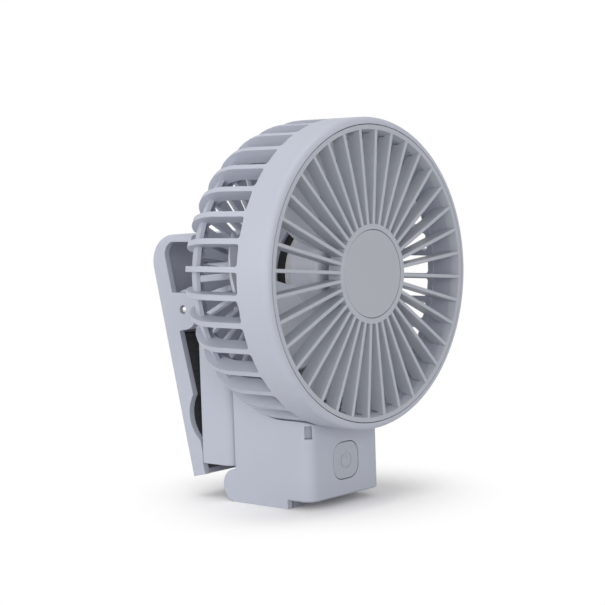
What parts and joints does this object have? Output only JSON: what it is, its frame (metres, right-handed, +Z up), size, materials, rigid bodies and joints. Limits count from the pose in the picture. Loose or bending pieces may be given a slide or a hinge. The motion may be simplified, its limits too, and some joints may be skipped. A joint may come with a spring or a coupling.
{
  "type": "clip fan",
  "caption": "Small round electric fan with a ribbed cage on a short box foot, and a sprung clip that folds out from behind the box.",
  "frame": {"origin": "middle of the flat face that the foot stands on, in the fan's middle plane", "axes": "+X to the right seen from the front, +Y to the back where the clip is, +Z up; the impeller turns about a line along Y"},
  "size_m": [0.1, 0.0839, 0.1257],
  "materials": {
    "shell_plastic": "fine matt",
    "grille_plastic": "fine matt",
    "blade_plastic": "satin",
    "black_plastic": "matt",
    "inner_plastic": "matt",
    "rubber": "matt",
    "steel": "satin",
    "spring_steel": "bright",
    "magnet": "matt",
    "bronze": "satin",
    "lamination": "matt",
    "copper": "enamelled",
    "board": "solder mask",
    "cell_wrap": "shrink wrap"
  },
  "bodies": {
    "fan_body": {"main_housing": "shell_plastic", "box_housing": "shell_plastic", "front_grille": "grille_plastic", "grille_badge": "grille_plastic", "motor_bearings": "bronze", "stator_core": "lamination", "stator_coils": "copper", "motor_base": "black_plastic", "motor_screws": "steel", "base_cover": "inner_plastic", "base_screws": "steel", "back_cover": "shell_plastic", "cover_screws": "steel", "tact_switch": "black_plastic", "main_board": "board", "board_screws": "steel", "usb_port": "steel", "battery": "cell_wrap", "hinge_pin": "steel", "hinge_cap": "shell_plastic", "hinge_washers": "black_plastic"},
    "rotor": {"impeller": "blade_plastic", "rotor_yoke": "steel", "rotor_magnet": "magnet", "motor_shaft": "steel"},
    "button": {"power_button": "shell_plastic"},
    "clip": {"front_jaw": "shell_plastic", "jaw_plate": "shell_plastic", "jaw_screws": "steel", "jaw_pad": "rubber", "pivot_pin": "steel", "torsion_spring": "spring_steel"},
    "lever": {"clip_lever": "shell_plastic", "lever_pad": "rubber"}
  },
  "joints": [
    {"name": "impeller_spin", "type": "hinge", "parent": "fan_body", "child": "rotor", "pos_m": [0, -0.0215, 0.0757], "axis": [0, 1, 0], "continuous": true},
    {"name": "power_button_press", "type": "slide", "parent": "fan_body", "child": "button", "axis": [0, 1, 0], "range_m": [0, 0.0005], "stiffness_N_per_m": 2000},
    {"name": "clip_fold", "type": "hinge", "parent": "fan_body", "child": "clip", "pos_m": [0, 0.0115, 0.0055], "axis": [-1, 0, 0], "range_deg": [0, 120]},
    {"name": "clip_lever_open", "type": "hinge", "parent": "clip", "child": "lever", "pos_m": [0, 0.0334, 0.0636], "axis": [1, 0, 0], "range_deg": [0, 32], "stiffness_Nm_per_rad": 0.5, "springref_deg": -22.92, "deforming": ["torsion_spring"]}
  ]
}
